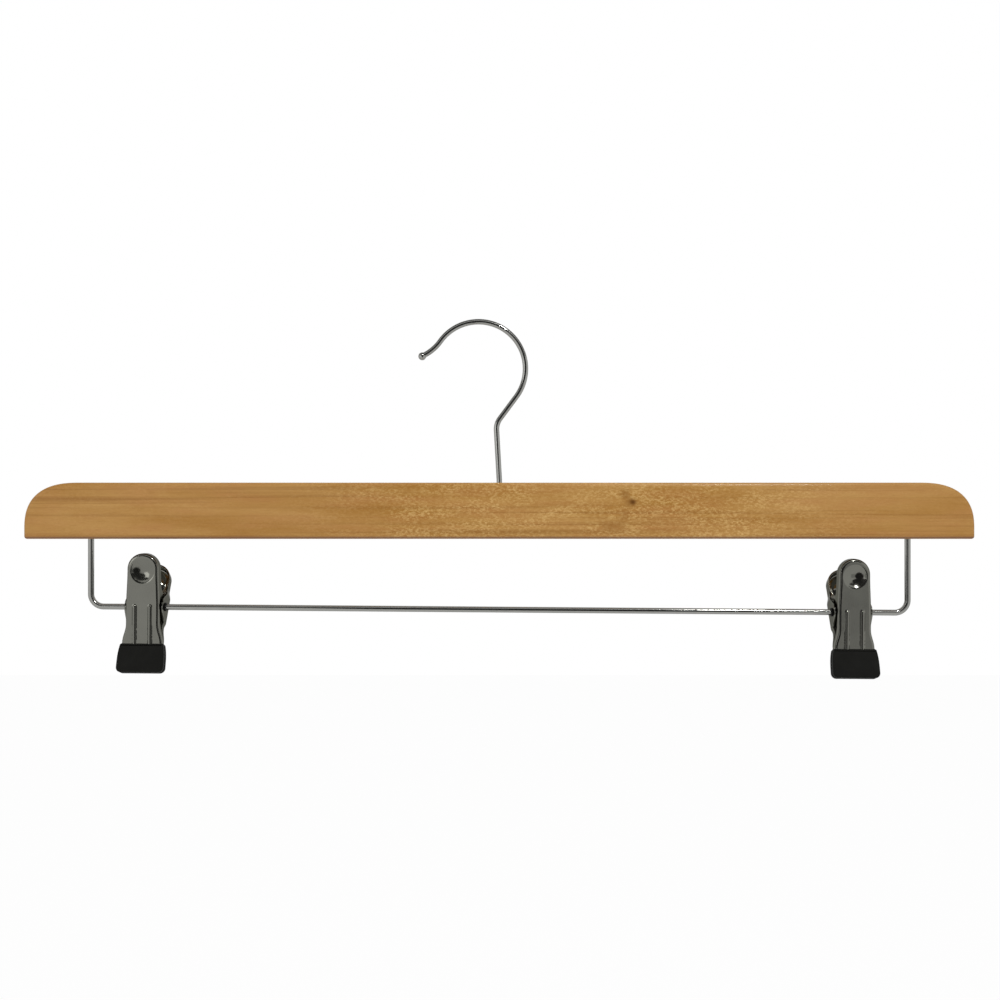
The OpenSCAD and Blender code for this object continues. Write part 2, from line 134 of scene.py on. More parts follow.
class WireSettings(PropertyGroup):
    """Sizes and colours of the hook and the clip bar."""

    hook_wire: length("Hook wire", "Diameter of the hook's wire", 2.6)
    upright: length("Upright", "Upright stretch above the wood", 1.0)
    lean_radius: length("Lean radius", "Radius of the bend into the leaning shank", 15.0)
    shank_lean: angle("Shank lean", "Lean of the shank", 3.2)
    shank: length("Shank", "Length of the leaning stretch", 23.0)
    throat_radius: length("Throat radius", "Radius of the bend above the shank", 8.5)
    throat_slope: angle("Throat slope", "Slope of the throat", 36.6)
    throat: length("Throat", "Length of the straight throat", 12.8)
    bow_radius: length("Bow radius", "Radius of the bow", 22.2)
    bow_turn: angle("Bow turn", "Turn of the bow", 181.0)
    tip_radius: length("Tip radius", "Radius of the curve at the tip", 21.0)
    tip_turn: angle("Tip turn", "Turn of the curve at the tip", 25.0)
    tip: length("Tip", "Straight end that carries the ball", 2.0)
    ball: length("Ball", "Diameter of the ball", 3.7)
    head_width: length("Head", "Diameter of the hook's head", 5.2)
    head_height: length("Head height", "Thickness of the hook's head", 1.5)
    head_low: length("Head place", "Head above the wood's underside", 2.3)
    bar_wire: length("Bar wire", "Diameter of the clip bar's wire", 2.8)
    leg_gap: length("Leg gap", "Distance between the clip bar's legs", 385.6)
    drop_left: length("Left drop", "Drop of the bar at its left leg", 32.0)
    drop_right: length("Right drop", "Drop of the bar at its right leg", 35.0)
    bend: length("Bend radius", "Radius of the clip bar's bends", 6.0)
    leg_in: length("Leg in wood", "Length of each leg inside the wood", 15.0)
    chrome: colour("Chrome", "Chrome plating on drawn wire", "#9C9C98")


class ClipSettings(PropertyGroup):
    """Sizes and colours of the two clips."""

    swing: angle("Swing", "Swing of a clip to the front", 16.0)
    lean: angle("Arm lean", "Lean of each arm from the middle plane", 16.0)
    sheet: length("Sheet", "Thickness of the pressed sheet", 0.8)
    face_out: length("Face", "Distance from the bar to a jaw's outer face", 6.6)
    thumb_top: length("Thumb plate", "Height of the thumb plate above the bar", 25.5)
    rear_less: length("Rear lower", "How much lower the rear thumb plate ends", 1.5)
    thumb_width: length("Thumb width", "Width of the front thumb plate", 14.6)
    waist: length("Waist", "Width of the front jaw at the bar", 15.7)
    flare: length("Flare", "Width of a jaw at the boot", 19.2)
    bend_drop: length("Bend", "Depth of the bar above the bend at the boot", 16.6)
    fold: length("Fold radius", "Radius of the fold along the sides", 1.4)
    rim_depth: length("Rim depth", "Depth of the rim of the thumb plate", 5.0)
    rim_low: length("Rim end", "Height above the bar where the rim widens", 9.0)
    ear: length("Ear radius", "Radius of the ears round the bar", 4.4)
    ear_gap: length("Ear gap", "Gap between inner and outer ears", 0.35)
    flange_gap: length("Flange gap", "Gap from a flange to the middle plane", 0.2)
    dish_up: length("Dish place", "Height of the dish above the bar", 17.2)
    dish: length("Dish radius", "Radius of the thumb dish", 5.5)
    dish_depth: length("Dish depth", "Depth of the thumb dish", 1.7)
    rib_gap: length("Rib gap", "Distance between the ribs", 7.2)
    rib_width: length("Rib width", "Width of a rib", 2.0)
    rib_height: length("Rib height", "Height of a rib", 0.6)
    rib_top: length("Rib top", "Top of the ribs above the bar", 1.5)
    tongue: length("Tongue", "Length of the tongue inside a boot", 12.2)
    steel: colour("Plated steel", "Chrome plating on pressed steel", "#74746D")


class BootSettings(PropertyGroup):
    """Sizes and colours of the boots, sleeves and springs."""

    outside: length("Outer wall", "Thickness of a boot over the tongue", 0.9)
    shut_gap: length("Shut gap", "Gap from a boot to the clip's middle plane", 0.06)
    mouth: length("Mouth", "Width of a boot at its mouth", 20.2)
    width: length("Width", "Greatest width of a boot", 21.9)
    boot_length: length("Length", "Length of a boot", 13.3)
    start: length("Start", "Gap from the bend to the boot's mouth", 0.3)
    edge: length("Edge radius", "Radius of a boot's long edges", 0.8)
    toe: length("Toe radius", "Radius of a boot's lower corners", 2.4)
    spring_wire: length("Spring wire", "Diameter of the spring's wire", 1.0)
    curl: length("Curl radius", "Radius of the spring's curls", 2.9)
    curls: IntProperty(name="Curls", description="Whole turns of the spring", default=3)
    curl_step: length("Curl step", "Step from one curl to the next", 1.6)
    arm_up: length("Arm", "Height of the spring's arms", 11.0)
    arm_gap: length("Arm gap", "Gap from the spring's arms to the jaws", 0.1)
    rubber: colour("Rubber", "Moulded rubber boot", "#171715")
    sleeve: colour("Sleeve", "Dark sleeve on the bar", "#161616")
    spring: colour("Spring steel", "Drawn spring steel", "#86867F")


class StageSettings(PropertyGroup):
    """Camera, lamps and surroundings."""

    distance: length("Distance", "Camera in front of the wood's middle", 546.0, 10.0, 5000.0)
    camera_x: length("Camera place", "Camera from the bar's middle", 0.33, -500.0, 500.0)
    camera_z: length("Camera height", "Camera above the wood's underside", 18.25, -500.0, 500.0)
    lens: length("Lens", "Focal length", 41.616)
    floor_drop: length("Floor", "Floor below the origin", 620.0, 200.0, 3000.0)
    roof: length("Roof", "Height of the upper flags over the origin", 250.0)
    key: FloatProperty(name="Key lamp", description="Power in watts", default=5.5, subtype="POWER")
    fill: FloatProperty(name="Fill lamp", description="Power in watts", default=3.0, subtype="POWER")
    ambient: FloatProperty(name="Ambient", description="Strength of the world's light", default=0.56)
    paper: colour("Paper", "Floor and surroundings", "#FFFFFF")


# Meshes


def make_object(name, points, faces, matrix=None):
    """A mesh object from points in millimetres, welded, with its normals outwards."""
    data = bpy.data.meshes.new(name)
    bm = bmesh.new()
    place = matrix or Matrix.Identity(4)
    corners = [bm.verts.new((place @ Vector(p)) * MM) for p in points]
    for face in faces:
        ring = [corners[i] for i in face]
        if len(set(ring)) > 2:
            bm.faces.new(ring)
    bmesh.ops.remove_doubles(bm, verts=bm.verts, dist=2e-6)
    bmesh.ops.delete(bm, geom=[v for v in bm.verts if not v.link_faces], context="VERTS")
    bmesh.ops.recalc_face_normals(bm, faces=bm.faces)
    bm.to_mesh(data)
    bm.free()
    made = bpy.data.objects.new(name, data)
    bpy.context.scene.collection.objects.link(made)
    return made


def finish_piece(piece, material, body, nodes, sharp=40.0):
    """Smooth shading with sharp edges kept, a material, and the body that the piece rides on."""
    data = piece.data
    data.polygons.foreach_set("use_smooth", [True] * len(data.polygons))
    data.set_sharp_from_angle(angle=math.radians(sharp))
    data.materials.clear()
    data.materials.append(material)
    even = piece.modifiers.new("even shading", "WEIGHTED_NORMAL")
    even.keep_sharp = True
    even.weight = 60
    if nodes:
        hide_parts(*nodes)
    if body:
        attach(piece, body)


def dress_node(name, material):
    """Gives a solid of the frame, which stays as it is, its finish."""
    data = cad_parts[name].data
    data.materials.clear()
    data.materials.append(material)


def cut(piece, cutter):
    """Cuts the cutter out of the piece and removes the cutter."""
    hole = piece.modifiers.new("holes", "BOOLEAN")
    hole.operation, hole.solver, hole.object = "DIFFERENCE", "EXACT", cutter
    hole.use_self = True
    bpy.context.view_layer.update()
    evaluated = piece.evaluated_get(bpy.context.evaluated_depsgraph_get())
    applied = bpy.data.meshes.new_from_object(evaluated)
    piece.modifiers.clear()
    piece.data = applied
    bpy.data.objects.remove(cutter)


def join(piece, other):
    """Adds another object's mesh to the piece."""
    bm = bmesh.new()
    bm.from_mesh(piece.data)
    bm.from_mesh(other.data)
    bm.to_mesh(piece.data)
    bm.free()
    bpy.data.objects.remove(other)


def grid_faces(rows, columns, closed=False, start=0):
    """Quads over a grid of points that is stored row after row."""
    last = columns if closed else columns - 1
    starts = [start + r * columns for r in range(rows)]
    return [
        (low + c, low + (c + 1) % columns, high + (c + 1) % columns, high + c)
        for low, high in zip(starts, starts[1:]) for c in range(last)
    ]


def sweep(path, radii, sides, reference):
    """A tube round a path, whose radius may change. Both ends are closed by a fan."""
    path, radii = np.array(path, float), np.array(radii, float)
    ahead = np.gradient(path, axis=0)
    ahead /= np.linalg.norm(ahead, axis=1)[:, None]
    across = np.cross(ahead, np.array(reference, float))
    across /= np.linalg.norm(across, axis=1)[:, None]
    up = np.cross(across, ahead)
    turn = np.linspace(0, 2 * math.pi, sides, endpoint=False)
    cos, sin = np.cos(turn)[None, :, None], np.sin(turn)[None, :, None]
    rings = path[:, None, :] + radii[:, None, None] * (
        cos * across[:, None, :] + sin * up[:, None, :]
    )
    points = [tuple(p) for ring in rings for p in ring]
    faces = grid_faces(len(path), sides, closed=True)
    for row in (0, len(path) - 1):
        centre = len(points)
        points.append(tuple(path[row]))
        base = row * sides
        faces += [(base + k, base + (k + 1) % sides, centre) for k in range(sides)]
    return points, faces


def walk(steps, fine=2.0):
    """Points along straights [length, 0] and bends [radius, turn] in the plane of X and Z, upwards."""
    at, head = np.zeros(2), 0.0
    path = [at.copy()]
    for size, turn in steps:
        if turn == 0:
            parts = max(1, int(size / 6))
            for _ in range(parts):
                at = at + size / parts * np.array([math.sin(head), math.cos(head)])
                path.append(at.copy())
        else:
            parts = max(4, int(abs(turn) / fine))
            side = math.copysign(1, turn)
            centre = at + side * size * np.array([math.cos(head), -math.sin(head)])
            for k in range(1, parts + 1):
                now = head + math.radians(turn) * k / parts
                at = centre - side * size * np.array([math.cos(now), -math.sin(now)])
                path.append(at.copy())
            head += math.radians(turn)
    return [(p[0], 0.0, p[1]) for p in path]


def slab(outline, rings, inset):
    """A closed slab from a closed outline of X and Z. Each ring is (inset, y), from front to back."""
    points, count = [], len(outline)
    for by, y in rings:
        points += [(x, y, z) for x, z in inset(outline, by)]
    faces = grid_faces(len(rings), count, closed=True)
    faces.append(tuple(range(count)))
    faces.append(tuple(range((len(rings) - 1) * count, len(rings) * count)))
    return points, faces


def along_normals(outline, by):
    """The outline drawn in along its own normals."""
    p = np.array(outline, float)
    run = np.roll(p, -1, axis=0) - np.roll(p, 1, axis=0)
    run /= np.maximum(np.linalg.norm(run, axis=1)[:, None], 1e-9)
    return p + by * np.stack([-run[:, 1], run[:, 0]], axis=1)


def edge_rings(thick, radius, steps=7, flat=0.25):
    """Rings of a slab with round edges, with one more ring inside each flat face."""
    half = thick / 2
    turns = [math.radians(90 * k / steps) for k in range(steps + 1)]
    front = [(radius + flat, -half)] + [
        (radius * (1 - math.cos(math.pi / 2 - a)), -half + radius * (1 - math.cos(a))) for a in turns
    ]
    return front + [(by, -y) for by, y in reversed(front)]


# Materials


def add(tree, kind, inputs=None, **settings):
    """A shader node with its settings, and with values, sockets or other nodes on its inputs."""
    node = tree.nodes.new("ShaderNode" + kind)
    for name, value in settings.items():
        setattr(node, name, value)
    for name, value in (inputs or {}).items():
        if isinstance(value, bpy.types.Node):
            value = next(socket for socket in value.outputs if socket.enabled)
        if isinstance(value, bpy.types.NodeSocket):
            tree.links.new(value, node.inputs[name])
        else:
            node.inputs[name].default_value = value
    return node


def new_material(name):
    """An empty material and its node tree."""
    material = bpy.data.materials.new(name)
    material.use_nodes = True
    material.node_tree.nodes.clear()
    return material, material.node_tree


def sized(tree, wide, deep, high, middle=(0.0, 0.0, 0.0)):
    """Object coordinates in steps of a real size, from a middle, both in millimetres."""
    steps = (wide, deep, high)
    return add(tree, "Mapping", {
        "Vector": add(tree, "TexCoord").outputs["Object"],
        "Location": tuple(-m / step for m, step in zip(middle, steps)),
        "Scale": tuple(1 / (step * MM) for step in steps),
    })


def patchy(tree, size, detail, rough, low, high, least, most):
    """Patches of a real size in millimetres, and the share that they give between two levels."""
    patches = add(tree, "TexNoise", {
        "Vector": sized(tree, *size), "Scale": 1.0, "Detail": detail, "Roughness": rough,
    })
    return patches, add(tree, "MapRange", {
        "Value": patches, "From Min": low, "From Max": high, "To Min": least, "To Max": most,
    })


def varnished_wood(name, settings, middle, underside):
    """Pale knotty wood, planed, stained and varnished: mottled long grain under a thin clear coat."""
    material, tree = new_material(name)
    last = settings.pale[:]
    # The figure from broad to fine, with its patches' size in millimetres: stretches of tone, warmer
    # patches, uneven growth lines along the bar, and pores, drawn coarser than real so that they show
    for tint, size, detail, rough, low, high, share in (
        (settings.deep, (70, 60, 9), 3.0, 0.5, 0.34, 0.66, 1.0),
        (settings.warm, (34, 30, 5), 2.0, 0.5, 0.45, 0.75, 0.6),
        (settings.line, (190, 24, 1.7), 3.0, 0.6, 0.52, 0.7, 0.6),
        (settings.line, (6, 0.6, 0.4), 4.0, 0.7, 0.5, 0.8, 0.45),
    ):
        pores, near = patchy(tree, size, detail, rough, low, high, 0.0, share)
        last = add(tree, "Mix", {"Factor": near, "A": last, "B": tint[:]}, data_type="RGBA")
    # Painted sparkle of the varnish, and a glossier varnish, for 65 mm to both sides of a place 40 mm
    # right of the middle, where the highlight falls
    sparkle_middle = (middle + 40, 0, underside)
    along = add(tree, "SeparateXYZ", {"Vector": sized(tree, 1, 1, 1, sparkle_middle)})
    away = add(tree, "Math", {0: along.outputs["X"]}, operation="ABSOLUTE")
    painted_sparkle_and_gloss = add(tree, "MapRange", {
        "Value": away, "From Min": 65.0, "From Max": 145.0, "To Min": 1.0, "To Max": 0.15,
    }, interpolation_type="SMOOTHSTEP")
    # Light flecks 1.3 mm long and 0.65 mm high, partly cut fibres and partly painted sparkle of the
    # varnish, thicker in some patches than in others
    share = painted_sparkle_and_gloss
    for size, rough, low, high, least, most in (
        ((1.3, 0.8, 0.65), 0.7, 0.42, 0.72, 0.0, 0.8), ((22, 20, 6), 0.5, 0.36, 0.62, 0.35, 1.0),
    ):
        near = patchy(tree, size, 2.0, rough, low, high, least, most)[1]
        share = add(tree, "Math", {0: share, 1: near}, operation="MULTIPLY")
    last = add(tree, "Mix", {"Factor": share, "A": last, "B": settings.fleck_and_painted_sparkle[:]}, data_type="RGBA")
    # A small knot with its halo, the grain that runs round it to both sides, and the swirl below it,
    # each through the whole depth of the bar
    through = 1e6
    wobble = add(tree, "TexNoise", {"Vector": sized(tree, 6, 6, 4), "Scale": 1.0})
    for dx, dz, wide, high, share, tint in (
        (-9.5, -11.5, 9.5, 5.0, 0.75, settings.swirl),
        (-4.0, -5.5, 4.0, 4.5, 0.55, settings.swirl),
        (-3.8, 3.6, 3.6, 3.0, 0.65, settings.line),
        (-0.6, 0.0, 4.6, 3.4, 0.8, settings.line),
        (0.0, 0.0, 2.4, 1.9, 0.9, settings.knot),
    ):
        spot = (middle + settings.knot_x + dx, 0, underside + settings.knot_z + dz)
        away = add(tree, "VectorMath", {0: sized(tree, wide, through, high, spot)}, operation="LENGTH")
        uneven = add(tree, "Math", {0: wobble, 1: 0.9, 2: away}, operation="MULTIPLY_ADD")
        near = add(tree, "MapRange", {
            "Value": uneven, "From Min": 0.5, "From Max": 1.5, "To Min": share, "To Max": 0.0,
        }, interpolation_type="SMOOTHSTEP")
        last = add(tree, "Mix", {"Factor": near, "A": last, "B": tint[:]}, data_type="RGBA")
    # Painted shade along the lower edges, where the underside's round turns away from the light from
    # above, from 0.02 to 1.6 mm up
    share = None
    for low, high, least, most in ((0.02, 0.4, 0.0, 1.0), (0.4, 1.6, 0.85, 0.0)):
        near = add(tree, "MapRange", {
            "Value": along.outputs["Z"], "From Min": low, "From Max": high,
            "To Min": least, "To Max": most,
        }, interpolation_type="SMOOTHSTEP")
        if share:
            near = add(tree, "Math", {0: share, 1: near}, operation="MULTIPLY")
        share = near
    last = add(tree, "Mix", {"Factor": share, "A": last, "B": settings.run[:]}, data_type="RGBA")
    dull = add(tree, "MapRange", {"Value": painted_sparkle_and_gloss, "To Min": 0.55, "To Max": 0.3})
    bump = add(tree, "Bump", {"Height": pores, "Strength": 0.12, "Distance": 0.2 * MM})
    shader = add(tree, "BsdfPrincipled", {
        "Base Color": last, "Roughness": dull, "IOR": 1.5, "Specular IOR Level": 0.2,
        "Coat Weight": 0.1, "Coat Roughness": 0.1, "Normal": bump,
    })
    add(tree, "OutputMaterial", {"Surface": shader})
    return material


def plated(name, tint, rough, scratch, wavy):
    """Chrome plating on steel: bright, with fine rubbing marks, and waved under the plating."""
    material, tree = new_material(name)
    # Slow unevenness of the plating over some 8 mm
    cloud, dull = patchy(tree, (8, 8, 8), 2.0, 0.5, 0.3, 0.7, rough * 0.75, rough * 1.3)
    deep = tuple(c * 0.86 for c in tint[:3]) + (1.0,)
    blend = add(tree, "Mix", {"Factor": cloud, "A": tint[:], "B": deep}, data_type="RGBA")
    # Rubbing marks about 0.4 mm apart and 4 mm long, and waves of some 3 mm, as no sheet is quite flat
    last = None
    for size, strength, distance in (((0.4, 0.4, 4), scratch, 0.05), ((3, 3, 3), 1.0, wavy)):
        marks = add(tree, "TexNoise", {"Vector": sized(tree, *size), "Scale": 1.0, "Detail": 2.0})
        under = {"Normal": last} if last else {}
        last = add(tree, "Bump", {
            "Height": marks, "Strength": strength, "Distance": distance * MM, **under,
        })
    # Plating thinner than a mirror's, so that it stays grey where light grazes it
    shader = add(tree, "BsdfPrincipled", {
        "Base Color": blend, "Metallic": 1.0, "Roughness": dull, "Specular Tint": (0.4, 0.4, 0.39, 1.0),
        "Normal": last,
    })
    add(tree, "OutputMaterial", {"Surface": shader})
    return material


def moulded(name, tint, rough, grit):
    """Moulded rubber or plastic: even and dark, with the fine grit of the mould."""
    material, tree = new_material(name)
    # Grit of the mould, 0.25 mm, coarser than the real one so that it shows
    grain = add(tree, "TexNoise", {"Vector": sized(tree, 0.25, 0.25, 0.25), "Scale": 1.0})
    # Handling wear in patches of some 6 mm
    near = patchy(tree, (6, 6, 6), 4.0, 0.5, 0.4, 0.75, 0.0, 0.6)[1]
    worn = tuple(min(1.0, c * 1.4 + 0.001) for c in tint[:3]) + (1.0,)
    blend = add(tree, "Mix", {"Factor": near, "A": tint[:], "B": worn}, data_type="RGBA")
    bump = add(tree, "Bump", {"Height": grain, "Strength": grit, "Distance": 0.05 * MM})
    shader = add(tree, "BsdfPrincipled", {
        "Base Color": blend, "Roughness": rough, "IOR": 1.5, "Specular IOR Level": 0.06, "Normal": bump,
    })
    add(tree, "OutputMaterial", {"Surface": shader})
    return material


def seen_rays(tree):
    """1 for what the camera sees, straight or by reflection or through glass, and 0 for light."""
    path = add(tree, "LightPath")
    seen = path.outputs["Is Camera Ray"]
    for ray in ("Is Glossy Ray", "Is Transmission Ray"):
        seen = add(tree, "Math", {0: seen, 1: path.outputs[ray]}, operation="MAXIMUM")
    return seen


def paper(name, tint):
    """Matt white paper. It shows white to the camera and in reflections, and keeps a faint shadow."""
    material, tree = new_material(name)
    # The rest of its brightness is left to the lamps, so that a shadow can show
    drawn = 0.96
    share = add(tree, "Math", {0: seen_rays(tree), 1: drawn}, operation="MULTIPLY")
    matt = add(tree, "BsdfDiffuse", {"Color": tint[:]})
    glow = add(tree, "Emission", {"Color": tint[:], "Strength": 1.0})
    mix = add(tree, "MixShader", {0: share, 1: matt, 2: glow})
    add(tree, "OutputMaterial", {"Surface": mix})
    return material


def card(name, shade):
    """Matt card on a studio flag, drawn by how bright reflections show it, where 1 is white."""
    material, tree = new_material(name)
    glow = add(tree, "Emission", {"Color": (shade, shade, shade, 1.0), "Strength": 1.0})
    add(tree, "OutputMaterial", {"Surface": glow})
    return material


def material_of(make, name, *values, **finish):
    """A material by name, made when it is first asked for."""
    return bpy.data.materials.get(name) or make(name, *values, **finish)


def chrome_wire():
    """Smooth plating on drawn wire."""
    tint = bpy.context.scene.hanger_wire.chrome
    return material_of(plated, "chromed_wire", tint, rough=0.12, scratch=0.04, wavy=0.005)


def chrome_sheet():
    """Plating on pressed sheet, more marked and waved than on wire."""
    tint = bpy.context.scene.hanger_clip.steel
    return material_of(plated, "chromed_sheet", tint, rough=0.14, scratch=0.1, wavy=0.05)


# Places


def wood_place():
    """X of the wooden bar's middle and Z of its underside, in millimetres."""
    low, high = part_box("wooden_bar")
    return (low.x + high.x) / 2 / MM, low.z / MM


def bar_tilt():
    """Tilt of the clip bar, in radians."""
    settings = bpy.context.scene.hanger_wire
    return math.atan((settings.drop_right - settings.drop_left) / settings.leg_gap)


def clip_place(side):
    """The frame of one clip: the bar's axis in the middle of the sleeve, tilted and swung."""
    low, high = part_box(side + "_sleeve")
    swing = math.radians(bpy.context.scene.hanger_clip.swing)
    return (
        Matrix.Translation((low + high) / 2 / MM)
        @ Matrix.Rotation(bar_tilt(), 4, "Y")
        @ Matrix.Rotation(-swing, 4, "X")
    )


def jaw_place(side, rear):
    """The frame of a jaw's arm, in which the arm stands upright with its face to the front."""
    lean = Matrix.Rotation(math.radians(bpy.context.scene.hanger_clip.lean), 4, "X")
    turn = Matrix.Diagonal((1, -1, 1, 1)) if rear else Matrix.Identity(4)
    return clip_place(side) @ turn @ lean


def bend_place(side, rear):
    """The frame of the tongue below the bend, parallel to the clip's middle plane."""
    settings = bpy.context.scene.hanger_clip
    return (
        jaw_place(side, rear)
        @ Matrix.Translation((0, settings.sheet - settings.face_out, -settings.bend_drop))
        @ Matrix.Rotation(-math.radians(settings.lean), 4, "X")
    )


# Shapes


def wood_outline(settings):
    """Closed outline of the wooden bar, counter-clockwise from the middle of the right lower corner."""
    half, low_r = settings.bar_length / 2, settings.corner
    side = [
        (half - low_r * (1 - math.cos(a)), low_r * (1 + math.sin(a)))
        for a in np.radians(np.linspace(-90, 0, 9))
    ]
    for a in np.radians(np.linspace(0, 90, 49)):
        x = half - settings.end_length * (1 - max(math.cos(a), 0.0) ** (2 / settings.end_power))
        z = settings.height - settings.end_height * (1 - math.sin(a) ** (2 / settings.end_power))
        if math.dist((x, z), side[-1]) > 0.02:
            side.append((x, z))
    return side + [(-x, z) for x, z in reversed(side)]


def wood_inset(settings):
    """Draws the wood's outline in, with the lower corners mitred where they run out of radius."""
    def inset(outline, by):
        moved = along_normals(outline, by)
        low_r, half = settings.corner, settings.bar_length / 2
        for i, (x, z) in enumerate(outline):
            if z < low_r - 1e-6 or (z < low_r + 1e-6 and abs(x) > half - 1e-6):
                side = math.copysign(1, x)
                middle = np.array([side * (half - low_r), low_r])
                out = (np.array([x, z]) - middle) / low_r
                if by <= low_r:
                    moved[i] = middle + out * (low_r - by)
                else:
                    moved[i] = (side * (half - by), by)
        return moved
    return inset


def edge_depth(settings, z):
    """Y of the free edge of a jaw's side wall at a height in the arm's frame."""
    rim_y, lean = settings.rim_depth - settings.face_out, math.radians(settings.lean)
    far = math.hypot(rim_y, settings.rim_low)
    touch = math.atan2(settings.rim_low, rim_y) - math.acos(settings.ear / far)
    # How far the ear's slope runs on below it before it meets the flange
    ear_tail = 2.2
    ear_end = settings.ear + ear_tail

    def low(down):
        gap = settings.flange_gap
        return (
            -gap * math.cos(lean) - down * math.sin(lean),
            gap * math.sin(lean) - down * math.cos(lean),
        )

    low_touch = -math.pi / 2 - lean + math.acos(settings.ear / ear_end)
    low_end = (settings.bend_drop + settings.flange_gap * math.sin(lean)) / math.cos(lean)
    line = [(rim_y, settings.thumb_top + 1), (rim_y, settings.rim_low)]
    turns = np.linspace(touch, low_touch, 40)
    line += [(settings.ear * math.cos(a), settings.ear * math.sin(a)) for a in turns]
    line += [low(ear_end), low(low_end)]
    line = np.array(line[::-1])
    return np.interp(z, line[:, 1], line[:, 0])


def jaw_side(settings, rear):
    """Right half of a jaw's outline from its top down to the bend, in fine steps."""
    waist, ear = settings.waist / 2, settings.waist / 2 + settings.ear_gap + settings.sheet
    thumb = settings.thumb_width / 2 + (settings.sheet if rear else 0.0)
    middle = settings.thumb_top - thumb - (settings.rear_less if rear else 0.0)
    # The front jaw flares from waist_low below the bar. The rear jaw is straight below the round of
    # its thumb plate, and stays wide above and below the bar for its ears
    waist_low, rear_straight, ear_zone = 7.5, 5.0, 6.0
    end = (-settings.bend_drop, settings.flare / 2)
    knots = [(middle, thumb), (0.0, waist), (-waist_low, waist), end]
    if rear:
        knots = [
            (middle, thumb), (middle - rear_straight, thumb), (ear_zone, ear), (-ear_zone, ear),
            (-waist_low - 1, (ear + waist) / 2), end,
        ]
    turns = np.radians(np.linspace(0, 87, 40))
    side = [(thumb * math.sin(a), middle + thumb * math.cos(a)) for a in turns]
    for (z0, x0), (z1, x1) in zip(knots, knots[1:]):
        parts = max(4, int((z0 - z1) / 0.4))
        for k in range(parts):
            t = k / parts
            side.append((x0 + (x1 - x0) * (1 - math.cos(math.pi * t)) / 2, z0 + (z1 - z0) * t))
    side.append((knots[-1][1], knots[-1][0]))
    return side, middle


def soft_cap(height, soft):
    """A height that fades to zero over a small round instead of at a crease."""
    return soft * np.logaddexp(0.0, height / soft)


def relief(settings, x, z, dish_up):
    """Height of a jaw's face over its plane: the thumb dish is pressed in, the ribs stand out."""
    rib_soft, dish_soft = 0.05, 0.08
    r, d = settings.dish, settings.dish_depth
    ball = (r * r + d * d) / (2 * d)
    away = np.hypot(x, z - dish_up)
    dish = np.sqrt(np.maximum(ball ** 2 - away ** 2, 0.01)) - (ball - d)
    w, h = settings.rib_width, settings.rib_height
    bar = (w * w / 4 + h * h) / (2 * h)
    over = np.maximum(0.0, z - (settings.rib_top - w / 2))
    off = np.hypot(np.abs(x) - settings.rib_gap / 2, over)
    rib = np.sqrt(np.maximum(bar ** 2 - off ** 2, 0.01)) - (bar - h)
    return soft_cap(rib, rib_soft) - soft_cap(dish, dish_soft)


def jaw_mesh(settings, rear):
    """A pressed jaw: face, fold and side walls of one sheet, with its dish, ribs, ears and flanges.

    The ears have no bore here, so the sleeve and the clip bar run through their sheet.
    """
    side, middle = jaw_side(settings, rear)
    path = np.array([(-x, z) for x, z in side[:0:-1]] + side)
    run = np.gradient(path, axis=0)
    run /= np.linalg.norm(run, axis=1)[:, None]
    into = np.stack([run[:, 1], -run[:, 0]], axis=1)
    depth = edge_depth(settings, path[:, 1])
    wall_top = settings.fold - settings.face_out
    spine = np.stack([np.zeros(len(path)), np.minimum(path[:, 1], middle)], axis=1)
    face_steps, wall_steps, fold_steps, chamfer = 30, 8, 7, 0.12
    inner_fold = settings.fold - settings.sheet
    dish_up = settings.dish_up - (settings.rear_less if rear else 0.0)

    def surface(skin, fold):
        columns = []
        shift = chamfer if skin == 0 else -chamfer
        columns.append((path + into * (skin + shift), depth))
        for t in np.linspace(0, 1, wall_steps):
            columns.append((path + into * skin, depth - chamfer + (wall_top - depth + chamfer) * t))
        for a in np.radians(np.linspace(0, 90, fold_steps))[1:]:
            y = -settings.face_out + skin + fold * (1 - math.sin(a))
            columns.append((path + into * (skin + fold * (1 - math.cos(a))), np.full(len(path), y)))
        start = path + into * settings.fold
        for t in np.linspace(0, 1, face_steps)[1:]:
            flat = start + (spine - start) * t
            y = -settings.face_out + skin - relief(settings, flat[:, 0], flat[:, 1], dish_up)
            columns.append((flat, y))
        return np.array([[(p[0], d, p[1]) for p, d in zip(flat, y)] for flat, y in columns])

    outer, inner = surface(0.0, settings.fold), surface(settings.sheet, inner_fold)
    rows, count = outer.shape[0], outer.shape[1]
    points = [tuple(p) for p in np.concatenate([outer.reshape(-1, 3), inner.reshape(-1, 3)])]
    second = rows * count
    faces = grid_faces(rows, count) + grid_faces(rows, count, start=second)
    faces += [(i, i + 1, second + i + 1, second + i) for i in range(count - 1)]
    faces += [
        (k, k + count, second + k + count, second + k)
        for i in (0, count - 1) for k in range(i, i + (rows - 1) * count, count)
    ]
    return points, faces


def tongue_mesh(settings):
    """The flat tongue inside a boot, in the frame of the bend."""
    half, down, corner = settings.flare / 2, settings.tongue, 1.6
    outline = [
        (half, -down + corner), (half, 0.0), (-half, 0.0), (-half, -down + corner),
        (-half + corner, -down), (half - corner, -down),
    ]
    edges = edge_rings(settings.sheet, radius=0.1, steps=2, flat=0.1)
    rings = [(by, y - settings.sheet / 2) for by, y in edges]
    return slab(outline, rings, along_normals)


